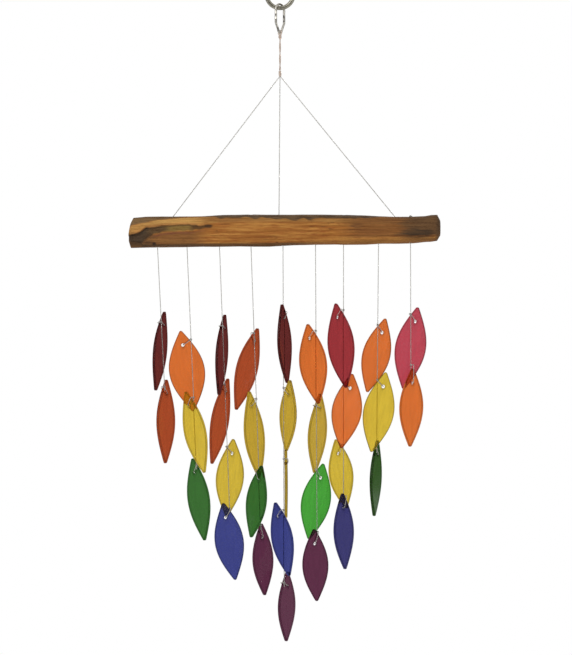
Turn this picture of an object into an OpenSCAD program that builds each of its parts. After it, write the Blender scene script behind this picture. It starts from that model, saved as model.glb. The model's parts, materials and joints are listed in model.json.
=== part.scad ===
// Glass wind chime: drilled glass leaves on nine strings under a driftwood bar.
// Millimetres. The origin is the middle of the hanging ring's eye, +Z is up, +X runs along the bar
// to the right and +Y points away from the viewer. Levels are distances below the origin.

/* [Hanging ring] */
// centreline radius of the ring
ring_r = 13.2; // [10:0.1:20]
// radius of the ring's wire
ring_wire_r = 2.2; // [1:0.1:4]

/* [Link] */
// radius of the link's wire
link_wire_r = 1.1; // [0.6:0.1:2]
// clearance between the top of the link's bow and the ring's wire
link_gap = 0.6; // [0.5:0.05:1]
// clearance between the link's sides and the ring's wire
link_side_gap = 1.4; // [1.2:0.05:3]
// length of the straight sides under the bow
link_side = 12.5; // [8:0.1:20]
// height over which the sides close in to the foot
link_taper = 7.5; // [5:0.1:12]
// clearance between the link's foot and the cord in it
link_foot_gap = 0.8; // [0.4:0.05:2]
// turn of the link's plane about the vertical
link_turn = 49; // [45:1:60]

/* [Stem and bridle cords] */
// radius of the cord of the loop that holds the link's foot
stem_loop_cord_r = 0.6; // [0.4:0.05:0.8]
// clearance between that loop and the link's wire
stem_loop_gap = 0.4; // [0.2:0.05:1]
// radius of each of the stem's two strands
stem_strand_r = 0.55; // [0.4:0.05:1.2]
// how far the two strands press into each other
stem_strand_press = 0.2; // [0.1:0.05:0.4]
// radius of the hitch under the link
hitch_r = 1.6; // [1.3:0.1:3]
// height of the hitch
hitch_h = 3.6; // [2:0.1:6]
// length from the link's foot to the stem's lower end
stem_length = 37.4; // [30:0.2:60]
// end gap between the stem and the crown knot
crown_gap = 0.4; // [0.2:0.05:1]
// radius of the crown knot
crown_r = 1.5; // [1.2:0.1:4]
// radius of the crown knot's ends
crown_end_r = 0.9; // [0.6:0.1:1.2]
// height of the crown knot
crown_h = 6; // [4:0.2:10]
// height of the crown knot's centre over the bar's highest stretch
bridle_rise = 141.2; // [100:0.2:200]
// how far the bridle cords start inside the crown knot's lower end
bridle_start = 0.6; // [0.4:0.05:1.5]
// radius of a bridle cord
bridle_r = 0.5; // [0.3:0.05:1]
// how far a bridle cord goes into the wood
bridle_depth = 4; // [2:0.5:8]
// places of the bridle cords along the bar
bridle_feet = [-107, -1, 115]; // [left, centre, right]

/* [Driftwood bar] */
// length of the bar to the left of the crown knot
bar_left = 151; // [140:1:190]
// length of the bar to the right of the crown knot
bar_right = 160; // [150:1:200]
// sections of the bar: place along it, top and underside below its highest stretch, half depth
bar_sections = [
    [-bar_left, 8, 26, 9],
    [-bar_left + 2, 3, 32.5, 14],
    [-bar_left + 16, 2, 32.5, 15],
    [-107, 2, 32, 15.5],
    [-78, 1.5, 31.5, 16],
    [-56, 0.2, 31.5, 16],
    [-25, 0, 31.2, 16],
    [10, 0, 30.4, 16],
    [36, 0, 29.8, 15.5],
    [65, 0.8, 29, 15],
    [92, 1.8, 28.6, 14.5],
    [115, 2.2, 28, 14],
    [131, 2.2, 27.2, 14],
    [bar_right - 15, 1.4, 26.2, 14],
    [bar_right - 9, 0, 26, 14],
    [bar_right - 3, 0, 25.6, 13.5],
    [bar_right, 6, 21, 9],
]; // [left end to right end]
// squareness of a section: 1 is an ellipse, lower is squarer
bar_round = 0.72; // [0.5:0.02:1]
// clearance round a string in its drilled hole
string_hole_gap = 0.85; // [0.6:0.05:1.5]

/* [Strings] */
// radius of the string
cord_r = 0.45; // [0.3:0.05:0.8]
// radius of a knot
knot_r = 1.1; // [0.8:0.05:1.6]
// height of a knot
knot_h = 2.2; // [1.6:0.1:3]
// free tail under the lowest knot
tail = 4; // [2:0.5:12]
// radius of the cord in a tie loop's runs along the glass
loop_run_r = 0.4; // [0.3:0.05:0.6]
// how far a tie loop's cross pieces reach past its runs' centres
loop_over = 0.6; // [0.5:0.05:1]
// how far a stopper knot on top of the bar overlaps the rim of its hole
stopper_lap = 0.7; // [0.4:0.05:1.5]
// how far a stopper knot beds into the wood
stopper_bed = 0.5; // [0.2:0.1:1]
// clearance round a stopper knot in its recess
recess_gap = 0.5; // [0.3:0.05:1]
// end gap between a string and its anchor in the hole
anchor_gap = 0.6; // [0.3:0.1:1]
// the strings: node, place along the bar, lean to the right in degrees, depth of the recess on top
strings = [
    ["string_1", -122.5, 2.9, 3.5],
    ["string_2", -93, 2.5, 3.5],
    ["string_3", -60.5, 2.2, 3.5],
    ["string_4", -29, 2, 3.5],
    ["string_5", 3, 0.2, 3.5],
    ["string_6", 35.5, 0.3, 3.5],
    ["string_7", 63.5, 0, 3.5],
    ["string_8", 98.5, -0.5, 3.5],
    ["string_9", 130.5, 0.2, 1.5],
]; // [left to right]

/* [Glass leaves] */
// thickness of the glass
glass_t = 3; // [2:0.1:5]
// half width of the blunt tip
tip_half = 1; // [0.5:0.1:2]
// radius of the drilled hole
hole_r = 1.75; // [1:0.05:3]
// distance of the hole's centre from the top tip
hole_drop = 14.5; // [8:0.5:20]
// clearance between the glass and the string that passes it
cord_clear = 0.35; // [0.2:0.05:1]
// clearance between a knot and the edge of the glass
knot_clear = 0.4; // [0.2:0.05:1]
// the leaves: node, string, distance of the knot down the string, length, width, yaw, roll, tilt,
// hand (1 tied at its right edge, -1 at its left), face (1 behind the string, -1 in front of it),
// distance of the knot below the top tip (less than 0 is above it), colour
leaves = [
    ["leaf_1a", 1, 75, 83, 26, 66, -20, 0, -1, 1, 14, "maroon"],
    ["leaf_1b", 1, 140, 84, 33, 62, -7, 0, -1, 1, 8, "brick"],
    ["leaf_2a", 2, 93, 83, 36, 8, 6, 10, 1, 1, 10, "orange"],
    ["leaf_2b", 2, 151, 84, 30, -44, 15, 0, 1, -1, 8, "yellow"],
    ["leaf_2c", 2, 219, 83, 32, -47, 9, 0, 1, 1, 8, "green"],
    ["leaf_3a", 3, 79.5, 83, 26, 68, -16, 0, -1, 1, 14, "maroon"],
    ["leaf_3b", 3, 138.5, 90, 29, 58, -23, 1, -1, 1, 9, "brick"],
    ["leaf_3c", 3, 200.5, 78, 30, 25, -8, 3, -1, 1, 8, "yellow"],
    ["leaf_3d", 3, 262.5, 78, 30, 20, 7, 0, 1, -1, 7, "blue"],
    ["leaf_4a", 4, 87, 86, 31, 50, -26, 7, -1, 1, 7, "brick"],
    ["leaf_4b", 4, 153, 89, 29, 50, 7, 3, 1, 1, 9, "mustard"],
    ["leaf_4c", 4, 224, 74, 30, -50, -16, 4, -1, -1, 6, "green"],
    ["leaf_4d", 4, 279.5, 72, 29, 48, 1, 0, -1, 1, 1.5, "purple"],
    ["leaf_5a", 5, 66.5, 80, 34, 69, 10, 0, 1, -1, 9, "maroon"],
    ["leaf_5b", 5, 142.5, 72, 29, -58, -6, 2, -1, 1, 9, "mustard"],
    ["leaf_5c", 5, 213.5, 69, 30, -88, 0, 2, 1, 1, 9, "mustard"],
    ["leaf_5d", 5, 264.5, 75, 29, -45, 15, 1, 1, -1, 9.5, "blue"],
    ["leaf_5e", 5, 337.5, 70, 30, 58, -2, 0, -1, 1, 11, "purple"],
    ["leaf_6a", 6, 86, 81, 33, -37, 9, 2, 1, -1, 8, "orange"],
    ["leaf_6b", 6, 161, 80, 31, 55, -8, 7, -1, 1, 12, "mustard"],
    ["leaf_6c", 6, 225, 77, 31, 20, -12, 3, -1, 1, 7, "bright green"],
    ["leaf_6d", 6, 287, 72, 28, 24, 2, 0, 1, -1, 3, "purple"],
    ["leaf_7a", 7, 66, 87, 31, -36, 8, 9, 1, -1, 8, "crimson"],
    ["leaf_7b", 7, 139, 75, 31, -18, -9, 7, -1, -1, 10, "orange"],
    ["leaf_7c", 7, 201, 71, 28, 32, 10, 3, 1, 1, 7, "yellow"],
    ["leaf_7d", 7, 252, 76, 29, 48, 3, 0, 1, -1, 3, "navy"],
    ["leaf_8a", 8, 81.5, 76, 29, 15, -14, 3, -1, 1, 8, "orange"],
    ["leaf_8b", 8, 136.5, 81, 31, -10, -10, 1, -1, -1, 9, "yellow"],
    ["leaf_8c", 8, 205.5, 76, 29, 68, -6, 0, -1, 1, 9, "dark green"],
    ["leaf_9a", 9, 72, 83, 33, 20, -11, 3, -1, 1, 8, "rose"],
    ["leaf_9b", 9, 123, 78, 30, 38, -3, 0, -1, -1, -3.5, "orange"],
]; // [left to right, top to bottom]

/* [Output] */
// the node to draw

/* [Hidden] */
$fn = 48;
bridle_names = ["bridle_left", "bridle_centre", "bridle_right"];
// a small step that keeps two meeting surfaces from touching along a line
joint_swell = 0.06;
// how far a drill runs past the wood at each end
drill_over = 10;
link_bow_r = (ring_wire_r + link_wire_r + link_side_gap) / sin(link_turn);
link_foot_r = link_wire_r + stem_loop_cord_r + link_foot_gap;
link_top_level = ring_r - ring_wire_r - link_wire_r - link_gap;
link_waist_level = link_top_level + link_bow_r + link_side;
link_foot_level = link_waist_level + link_taper + link_foot_r;
stem_strand_pitch = 2 * stem_strand_r - stem_strand_press;
stem_loop_r = link_wire_r + stem_loop_cord_r + stem_loop_gap;
stem_end_level = link_foot_level + stem_length;
crown_level = stem_end_level + crown_gap + crown_h / 2;
bar_datum = crown_level + bridle_rise;
string_hole_r = cord_r + string_hole_gap;
stopper_r = string_hole_r + stopper_lap;
cord_gap = glass_t / 2 + cord_r + cord_clear;
edge_out = knot_r + knot_clear;
outline_steps = 12;
section_points = 20;
steel = [0.62, 0.61, 0.58];
bright_wire = [0.78, 0.78, 0.78];
stem_tan = [0.55, 0.43, 0.32];
cord_grey = [0.8, 0.79, 0.76];
driftwood = [0.68, 0.43, 0.2];
glass_colours = [
    ["maroon", [0.37, 0.14, 0.14]],
    ["brick", [0.65, 0.27, 0.14]],
    ["orange", [0.86, 0.41, 0.16]],
    ["yellow", [0.78, 0.69, 0.18]],
    ["mustard", [0.72, 0.6, 0.19]],
    ["green", [0.24, 0.45, 0.18]],
    ["bright green", [0.29, 0.63, 0.24]],
    ["dark green", [0.24, 0.35, 0.16]],
    ["blue", [0.24, 0.26, 0.55]],
    ["navy", [0.25, 0.24, 0.45]],
    ["purple", [0.37, 0.18, 0.25]],
    ["rose", [0.73, 0.26, 0.33]],
    ["crimson", [0.61, 0.17, 0.2]],
];

function glass_colour(name) = [for (row = glass_colours) if (row[0] == name) row[1]][0];

// Leaf geometry. In a leaf's own frame X is across, Z is along and Y is through the glass.
function leaf_string(row) = strings[row[1] - 1];
function half_width(row, v) = tip_half + (row[4] / 2 - tip_half) * cos(180 * v / row[3]);
function hole_at(row) = [0, 0, row[3] / 2 - hole_drop];
function tie_height(row) = row[3] / 2 - row[10];
function tie_at(row) = [row[8] * (half_width(row, tie_height(row)) + edge_out), 0, tie_height(row)];
function near_side(row) = [0, -row[9] * cord_gap, 0];
function leaves_of(number) = [for (row = leaves) if (row[1] == number) row];
function lowest_knot(number) = max([for (row = leaves_of(number)) row[2]]);

// Levels of the bar's top and underside at a place along it, between the two nearest sections.
function bar_top(x) = bar_datum + lookup(x, [for (row = bar_sections) [row[0], row[1]]]);
function bar_under(x) = bar_datum + lookup(x, [for (row = bar_sections) [row[0], row[2]]]);

function signed_power(value, power) = sign(value) * pow(abs(value), power);
function section_point(row, turn) = [
    row[0],
    row[3] * signed_power(cos(turn), bar_round),
    -bar_datum - (row[1] + row[2]) / 2 + (row[2] - row[1]) / 2 * signed_power(sin(turn), bar_round)
];

// A round rod between two points.
module rod(from, to, r)
{
    run = to - from;
    translate(from)
        rotate([0, acos(run.z / norm(run)), atan2(run.y, run.x)])
            cylinder(r = r, h = norm(run));
}

// Places its children in a string's frame: Z runs up the string from the mouth of its hole.
module on_string(row)
{
    translate([row[1], 0, -bar_under(row[1])])
        rotate([0, -row[2], 0])
            children();
}

// Places its children in a leaf's frame, inside its string's frame.
module on_leaf(row)
{
    translate([0, 0, -row[2]])
        rotate([row[9] * row[7], 0, 0])
            rotate([0, 0, row[5]])
                translate([0, row[9] * cord_gap, 0])
                    rotate([0, -row[6], 0])
                        translate(-tie_at(row))
                            children();
}

module hang_ring()
{
    color(steel)
        rotate([90, 0, 0])
            rotate_extrude()
                translate([ring_r, 0])
                    circle(r = ring_wire_r);
}

// A half ring of wire, open downwards.
module wire_bow(r)
{
    rotate([90, 0, 0])
        rotate_extrude(angle = 180)
            translate([r, 0])
                circle(r = link_wire_r);
}

module link()
{
    bow_z = -(link_top_level + link_bow_r);
    foot_z = -(link_foot_level - link_foot_r);
    color(bright_wire)
        rotate([0, 0, link_turn])
        {
            translate([0, 0, bow_z])
                wire_bow(link_bow_r);
            translate([0, 0, foot_z])
                rotate([180, 0, 0])
                    wire_bow(link_foot_r);
            for (side = [-1, 1])
            {
                rod([side * link_bow_r, 0, bow_z], [side * link_bow_r, 0, -link_waist_level],
                    link_wire_r + joint_swell);
                rod([side * link_bow_r, 0, -link_waist_level], [side * link_foot_r, 0, foot_z],
                    link_wire_r);
                translate([side * link_bow_r, 0, -link_waist_level])
                    sphere(r = link_wire_r + 2 * joint_swell, $fn = 24);
                translate([side * link_foot_r, 0, foot_z])
                    sphere(r = link_wire_r + 2 * joint_swell, $fn = 24);
            }
        }
}

module stem()
{
    hitch_top = link_foot_level + stem_loop_r + stem_loop_cord_r - joint_swell * 8;
    color(stem_tan)
    {
        translate([0, 0, -link_foot_level])
            rotate([0, 0, link_turn])
                rotate([0, 90, 0])
                    rotate_extrude()
                        translate([stem_loop_r, 0])
                            circle(r = stem_loop_cord_r);
        translate([0, 0, -hitch_top - hitch_h])
            cylinder(r = hitch_r, h = hitch_h);
        for (side = [-1, 1])
            rod([side * stem_strand_pitch / 2, 0, -hitch_top - hitch_h / 2],
                [side * stem_strand_pitch / 2, 0, -stem_end_level], stem_strand_r);
    }
}

module crown_knot()
{
    color(stem_tan)
        translate([0, 0, -crown_level])
            rotate_extrude()
                polygon([[0, -crown_h / 2], [crown_end_r, -crown_h / 2], [crown_r, -crown_h / 4],
                         [crown_r, crown_h / 4], [crown_end_r, crown_h / 2], [0, crown_h / 2]]);
}

module bridle(number)
{
    start = [0, 0, -(crown_level + crown_h / 2 - bridle_start)];
    foot = [bridle_feet[number], 0, -bar_top(bridle_feet[number])];
    along = (foot - start) / norm(foot - start);
    color(cord_grey)
        rod(start, foot + along * bridle_depth, bridle_r);
}

module bar_body()
{
    last = len(bar_sections) - 1;
    points = [for (row = bar_sections, i = [0:section_points - 1]) section_point(row, 360 * i / section_points)];
    sides = [
        for (s = [0:last - 1], i = [0:section_points - 1])
            let (a = s * section_points + i,
                 b = s * section_points + (i + 1) % section_points,
                 c = a + section_points,
                 d = b + section_points)
                each [[a, d, b], [a, c, d]]
    ];
    left_end = [for (i = [0:section_points - 1]) i];
    right_end = [for (i = [section_points - 1:-1:0]) last * section_points + i];
    polyhedron(points, concat(sides, [left_end, right_end]));
}

module driftwood_bar()
{
    color(driftwood)
        difference()
        {
            bar_body();
            for (row = strings)
            {
                translate([row[1], 0, -bar_under(row[1]) - drill_over])
                    cylinder(r = string_hole_r, h = bar_under(row[1]) - bar_top(row[1]) + 2 * drill_over);
                translate([row[1], 0, -bar_top(row[1]) - row[3]])
                    cylinder(r = stopper_r + recess_gap, h = row[3] + drill_over);
            }
        }
}

module string_anchors()
{
    color(cord_grey)
        for (row = strings)
        {
            stopper_z = stopper_r - stopper_bed - bar_top(row[1]) - row[3];
            rod([row[1], 0, anchor_gap - bar_under(row[1])], [row[1], 0, stopper_z], cord_r);
            translate([row[1], 0, stopper_z])
                sphere(r = stopper_r, $fn = 24);
        }
}

// The loop that goes through a leaf's hole and round its edge to the knot.
module tie_loop(row)
{
    near = near_side(row);
    over = row[9] * [0, loop_over, 0];
    hole = hole_at(row);
    knot = tie_at(row);
    on_leaf(row)
    {
        rod(hole + near, knot + near, loop_run_r);
        rod(hole - near, knot - near, loop_run_r);
        rod(hole + near - over, hole - near + over, cord_r);
        rod(knot + near, knot - near + over, cord_r);
    }
}

module string(number)
{
    color(cord_grey)
        on_string(strings[number - 1])
        {
            translate([0, 0, -lowest_knot(number) - tail])
                cylinder(r = cord_r, h = lowest_knot(number) + tail);
            for (row = leaves_of(number))
            {
                translate([0, 0, -row[2] - knot_h / 2])
                    cylinder(r = knot_r, h = knot_h);
                tie_loop(row);
            }
        }
}

module leaf_outline(row)
{
    levels = [for (i = [0:outline_steps]) row[3] * (i / outline_steps - 0.5)];
    right = [for (v = levels) [half_width(row, v), v]];
    left = [for (i = [outline_steps:-1:0]) [-half_width(row, levels[i]), levels[i]]];
    polygon(concat(right, left));
}

module leaf(row)
{
    color(glass_colour(row[11]))
        on_string(leaf_string(row))
            on_leaf(row)
                rotate([90, 0, 0])
                    difference()
                    {
                        translate([0, 0, -glass_t / 2])
                            linear_extrude(glass_t)
                                leaf_outline(row);
                        translate([0, hole_at(row).z, -glass_t])
                            cylinder(r = hole_r, h = 2 * glass_t);
                    }
}

hang_ring();
link();
stem();
crown_knot();
for (i = [0:2])
    bridle(i);
driftwood_bar();
string_anchors();
for (i = [1:len(strings)])
    string(i);
for (row = leaves)
    leaf(row);
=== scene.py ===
import json
import math

import bmesh
import bpy
from mathutils import Matrix, Vector, noise


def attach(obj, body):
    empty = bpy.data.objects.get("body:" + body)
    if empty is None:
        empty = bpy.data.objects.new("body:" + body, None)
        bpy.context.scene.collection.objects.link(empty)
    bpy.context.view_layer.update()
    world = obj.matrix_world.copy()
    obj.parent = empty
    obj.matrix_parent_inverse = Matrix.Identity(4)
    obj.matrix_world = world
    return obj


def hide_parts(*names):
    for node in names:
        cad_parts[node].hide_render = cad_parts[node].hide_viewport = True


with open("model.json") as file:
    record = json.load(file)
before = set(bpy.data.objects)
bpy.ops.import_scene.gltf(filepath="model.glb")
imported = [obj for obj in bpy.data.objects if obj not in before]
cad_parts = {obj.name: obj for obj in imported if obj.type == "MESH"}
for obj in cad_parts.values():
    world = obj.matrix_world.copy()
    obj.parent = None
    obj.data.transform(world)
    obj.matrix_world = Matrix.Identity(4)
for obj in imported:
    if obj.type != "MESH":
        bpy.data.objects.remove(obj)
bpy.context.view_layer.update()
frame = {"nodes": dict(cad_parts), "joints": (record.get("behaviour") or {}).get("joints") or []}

# Lengths below are in millimetres, as in the part's source, and become metres when an object is made.
MM = 0.001
joint_at = {joint["name"]: Vector(joint["pos_m"]) / MM for joint in frame["joints"]}

# Sizes repeated from the part's source
CORD_R = 0.45
LOOP_R = 0.4
KNOT_R = 1.1
KNOT_H = 2.2
TAIL = 4
STOPPER_R = 2
STOPPER_BED = 0.5
RECESS_GAP = 0.5
STRING_HOLE_R = 1.3
ANCHOR_GAP = 0.6
BRIDLE_R = 0.5
BRIDLE_FEET = {"left": -107, "centre": -1, "right": 115}
BRIDLE_DEPTH = 4
BRIDLE_START = 0.6
CROWN_R = 1.5
CROWN_H = 6
STEM_LOOP_R = 2.1
STEM_LOOP_CORD_R = 0.6
STEM_STRAND_R = 0.55
HITCH_R = 1.6
HITCH_H = 3.6
STEM_LENGTH = 37.4
LINK_TURN = 49
GLASS = 3
TIP_HALF = 1
HOLE_R = 1.75
HOLE_DROP = 14.5
CORD_GAP = 2.3
EDGE_OUT = 1.5
BAR_DATUM = 220.03
BAR_ROUND = 0.72

# place along the bar, top and underside below its highest stretch, half depth
BAR_SECTIONS = [
    (-151, 8, 26, 9),
    (-149, 3, 32.5, 14),
    (-135, 2, 32.5, 15),
    (-107, 2, 32, 15.5),
    (-78, 1.5, 31.5, 16),
    (-56, 0.2, 31.5, 16),
    (-25, 0, 31.2, 16),
    (10, 0, 30.4, 16),
    (36, 0, 29.8, 15.5),
    (65, 0.8, 29, 15),
    (92, 1.8, 28.6, 14.5),
    (115, 2.2, 28, 14),
    (131, 2.2, 27.2, 14),
    (145, 1.4, 26.2, 14),
    (151, 0, 26, 14),
    (157, 0, 25.6, 13.5),
    (160, 6, 21, 9),
]

# number: lean to the right in degrees, depth of the recess on top of the bar
STRINGS = {
    1: (2.9, 3.5),
    2: (2.5, 3.5),
    3: (2.2, 3.5),
    4: (2, 3.5),
    5: (0.2, 3.5),
    6: (0.3, 3.5),
    7: (0, 3.5),
    8: (-0.5, 3.5),
    9: (0.2, 1.5),
}

# node, string, distance of the knot down the string, length, width, yaw, roll, tilt, hand, face,
# distance of the knot below the top tip (less than 0 is above it), colour
LEAVES = [
    ("leaf_1a", 1, 75, 83, 26, 66, -20, 0, -1, 1, 14, "maroon"),
    ("leaf_1b", 1, 140, 84, 33, 62, -7, 0, -1, 1, 8, "brick"),
    ("leaf_2a", 2, 93, 83, 36, 8, 6, 10, 1, 1, 10, "orange"),
    ("leaf_2b", 2, 151, 84, 30, -44, 15, 0, 1, -1, 8, "yellow"),
    ("leaf_2c", 2, 219, 83, 32, -47, 9, 0, 1, 1, 8, "green"),
    ("leaf_3a", 3, 79.5, 83, 26, 68, -16, 0, -1, 1, 14, "maroon"),
    ("leaf_3b", 3, 138.5, 90, 29, 58, -23, 1, -1, 1, 9, "brick"),
    ("leaf_3c", 3, 200.5, 78, 30, 25, -8, 3, -1, 1, 8, "yellow"),
    ("leaf_3d", 3, 262.5, 78, 30, 20, 7, 0, 1, -1, 7, "blue"),
    ("leaf_4a", 4, 87, 86, 31, 50, -26, 7, -1, 1, 7, "brick"),
    ("leaf_4b", 4, 153, 89, 29, 50, 7, 3, 1, 1, 9, "mustard"),
    ("leaf_4c", 4, 224, 74, 30, -50, -16, 4, -1, -1, 6, "green"),
    ("leaf_4d", 4, 279.5, 72, 29, 48, 1, 0, -1, 1, 1.5, "purple"),
    ("leaf_5a", 5, 66.5, 80, 34, 69, 10, 0, 1, -1, 9, "maroon"),
    ("leaf_5b", 5, 142.5, 72, 29, -58, -6, 2, -1, 1, 9, "mustard"),
    ("leaf_5c", 5, 213.5, 69, 30, -88, 0, 2, 1, 1, 9, "mustard"),
    ("leaf_5d", 5, 264.5, 75, 29, -45, 15, 1, 1, -1, 9.5, "blue"),
    ("leaf_5e", 5, 337.5, 70, 30, 58, -2, 0, -1, 1, 11, "purple"),
    ("leaf_6a", 6, 86, 81, 33, -37, 9, 2, 1, -1, 8, "orange"),
    ("leaf_6b", 6, 161, 80, 31, 55, -8, 7, -1, 1, 12, "mustard"),
    ("leaf_6c", 6, 225, 77, 31, 20, -12, 3, -1, 1, 7, "bright green"),
    ("leaf_6d", 6, 287, 72, 28, 24, 2, 0, 1, -1, 3, "purple"),
    ("leaf_7a", 7, 66, 87, 31, -36, 8, 9, 1, -1, 8, "crimson"),
    ("leaf_7b", 7, 139, 75, 31, -18, -9, 7, -1, -1, 10, "orange"),
    ("leaf_7c", 7, 201, 71, 28, 32, 10, 3, 1, 1, 7, "yellow"),
    ("leaf_7d", 7, 252, 76, 29, 48, 3, 0, 1, -1, 3, "navy"),
    ("leaf_8a", 8, 81.5, 76, 29, 15, -14, 3, -1, 1, 8, "orange"),
    ("leaf_8b", 8, 136.5, 81, 31, -10, -10, 1, -1, -1, 9, "yellow"),
    ("leaf_8c", 8, 205.5, 76, 29, 68, -6, 0, -1, 1, 9, "dark green"),
    ("leaf_9a", 9, 72, 83, 33, 20, -11, 3, -1, 1, 8, "rose"),
    ("leaf_9b", 9, 123, 78, 30, 38, -3, 0, -1, -1, -3.5, "orange"),
]


# Colours
def linear(channel):
    """One 0 to 255 display value as a linear one."""
    value = channel / 255
    return value / 12.92 if value <= 0.04045 else ((value + 0.055) / 1.055) ** 2.4


def rgb(red, green, blue):
    return (linear(red), linear(green), linear(blue))


GLASS_COLOURS = {
    "maroon": rgb(108, 46, 44),
    "brick": rgb(176, 80, 45),
    "orange": rgb(216, 116, 53),
    "yellow": rgb(211, 184, 64),
    "mustard": rgb(197, 166, 58),
    "green": rgb(60, 112, 50),
    "bright green": rgb(76, 166, 62),
    "dark green": rgb(58, 92, 42),
    "blue": rgb(65, 71, 138),
    "navy": rgb(62, 60, 116),
    "purple": rgb(98, 50, 74),
    "rose": rgb(188, 74, 88),
    "crimson": rgb(159, 57, 62),
}


# Looks of the glass: share of the colour in its deep and light streaks and in the painted shade on its
# rounded edges and in its hole, then how far the hole's wall, the hole's rim and each part of the rounded
# edge take that painted shade
GLASS_DEEP = 0.86
GLASS_LIGHT = 1.1
GLASS_EDGE_SHADE = 0.2
HOLE_WALL_SHADE = 0.6
HOLE_RIM_SHADE = 0.5
CORNER_SHADE = 0.4
CORNER_MORE_SHADE = 0.5
EDGE_MIDDLE_SHADE = 0.35

# range in which most values of a noise texture lie
NOISE_LOW = 0.3
NOISE_HIGH = 0.7


# Small helpers
def smooth_step(value, low, high):
    """0 below low, 1 above high and a smooth rise between."""
    share = min(max((value - low) / (high - low), 0), 1)
    return share * share * (3 - 2 * share)


def lookup(value, rows, column=1):
    """A column of a table between the two nearest rows."""
    if value <= rows[0][0]:
        return rows[0][column]
    for first, second in zip(rows, rows[1:]):
        if value <= second[0]:
            share = (value - first[0]) / (second[0] - first[0])
            return first[column] + share * (second[column] - first[column])
    return rows[-1][column]


def blend(first, second, share):
    return tuple(a + (b - a) * share for a, b in zip(first, second))


def grid_faces(rows, columns, rows_closed=False):
    """Quads of a grid that closes round its columns."""
    faces = []
    for r in range(rows if rows_closed else rows - 1):
        below = r * columns
        above = (r + 1) % rows * columns
        for c in range(columns):
            nearby = (c + 1) % columns
            faces.append((below + c, below + nearby, above + nearby, above + c))
    return faces


def make_object(name, points, faces, material, body):
    """A smooth mesh object from points in millimetres, riding on a body."""
    mesh = bpy.data.meshes.new(name)
    mesh.from_pydata([Vector(point) * MM for point in points], [], faces)
    work = bmesh.new()
    work.from_mesh(mesh)
    bmesh.ops.recalc_face_normals(work, faces=work.faces)
    work.to_mesh(mesh)
    work.free()
    mesh.polygons.foreach_set("use_smooth", [True] * len(mesh.polygons))
    mesh.materials.append(material)
    piece = bpy.data.objects.new(name, mesh)
    bpy.context.scene.collection.objects.link(piece)
    if body:
        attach(piece, body)
    return piece


def spline(points, steps):
    """A smooth open path through the points."""
    path = []
    count = len(points)
    for i in range(count - 1):
        before = points[max(i - 1, 0)]
        first = points[i]
        second = points[i + 1]
        after = points[min(i + 2, count - 1)]
        for k in range(steps):
            t = k / steps
            path.append(0.5 * (2 * first + (second - before) * t
                               + (2 * before - 5 * first + 4 * second - after) * t * t
                               + (3 * first - before - 3 * second + after) * t * t * t))
    path.append(points[-1].copy())
    return path


def tube(path, radius, sides=8, lobes=0, lay=1, hollow=0.2):
    """Points and faces of a tube along a path; lobes and lay give it the turns of a laid cord."""
    points = []
    travelled = 0
    across = None
    for i, centre in enumerate(path):
        ahead = path[min(i + 1, len(path) - 1)] - path[max(i - 1, 0)]
        ahead = ahead.normalized()
        if across is None:
            across = ahead.orthogonal().normalized()
        else:
            travelled += (centre - path[i - 1]).length
            across = (across - ahead * across.dot(ahead)).normalized()
        other = ahead.cross(across)
        for k in range(sides):
            turn = 2 * math.pi * k / sides
            reach = radius
            if lobes:
                inner = hollow * radius
                outer = radius - inner
                lobe = 2 * math.pi / lobes
                local = (turn + lobe / 2) % lobe - lobe / 2
                reach = inner * math.cos(local) + math.sqrt(outer ** 2 - (inner * math.sin(local)) ** 2)
                turn += 2 * math.pi * travelled / lay
            points.append(centre + (across * math.cos(turn) + other * math.sin(turn)) * reach)
    faces = grid_faces(len(path), sides)
    faces.append(tuple(range(sides)))
    faces.append(tuple(len(points) - 1 - k for k in range(sides)))
    return points, faces


def joined(parts):
    """Several (points, faces) pairs as one."""
    points = []
    faces = []
    for part_points, part_faces in parts:
        start = len(points)
        points.extend(part_points)
        faces.extend(tuple(index + start for index in face) for face in part_faces)
    return points, faces


def straight(start, end, count):
    return [start.lerp(end, i / (count - 1)) for i in range(count)]


def moved(matrix, points):
    return [matrix @ point for point in points]


def helix(radius, height, turns, steps):
    """A coil round Z, centred on the origin."""
    path = []
    for i in range(steps + 1):
        turn = 2 * math.pi * turns * i / steps
        path.append(Vector((radius * math.cos(turn), radius * math.sin(turn), height * (i / steps - 0.5))))
    return path


def overhand(width, height, steps):
    """The path of an overhand knot drawn tight, centred on the origin."""
    path = []
    for i in range(steps + 1):
        turn = 2 * math.pi * i / steps
        path.append(Vector((width * (math.sin(turn) + 2 * math.sin(2 * turn)) / 3,
                            width * (math.cos(turn) - 2 * math.cos(2 * turn)) / 3,
                            -height * math.sin(3 * turn))))
    return path


# Materials
def new_material(name):
    """A node material, its node tree and its main shader."""
    material = bpy.data.materials.new(name)
    material.use_nodes = True
    tree = material.node_tree
    return material, tree, tree.nodes["Principled BSDF"]


def coordinates(tree, scale):
    """The piece's own coordinates, stretched."""
    source = tree.nodes.new("ShaderNodeTexCoord")
    mapping = tree.nodes.new("ShaderNodeMapping")
    mapping.inputs["Scale"].default_value = scale
    tree.links.new(source.outputs["Object"], mapping.inputs["Vector"])
    return mapping.outputs["Vector"]


def noise_value(tree, vector, detail=3.0, roughness=0.55):
    node = tree.nodes.new("ShaderNodeTexNoise")
    node.inputs["Scale"].default_value = 1.0
    node.inputs["Detail"].default_value = detail
    node.inputs["Roughness"].default_value = roughness
    tree.links.new(vector, node.inputs["Vector"])
    return node.outputs["Fac"]


def ramp(tree, factor, stops):
    """A colour ramp with the stops (position, colour)."""
    node = tree.nodes.new("ShaderNodeValToRGB")
    elements = node.color_ramp.elements
    while len(elements) < len(stops):
        elements.new(0.5)
    for element, (position, colour) in zip(elements, stops):
        element.position = position
        element.color = (*colour, 1)
    tree.links.new(factor, node.inputs["Fac"])
    return node.outputs["Color"]


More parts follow.
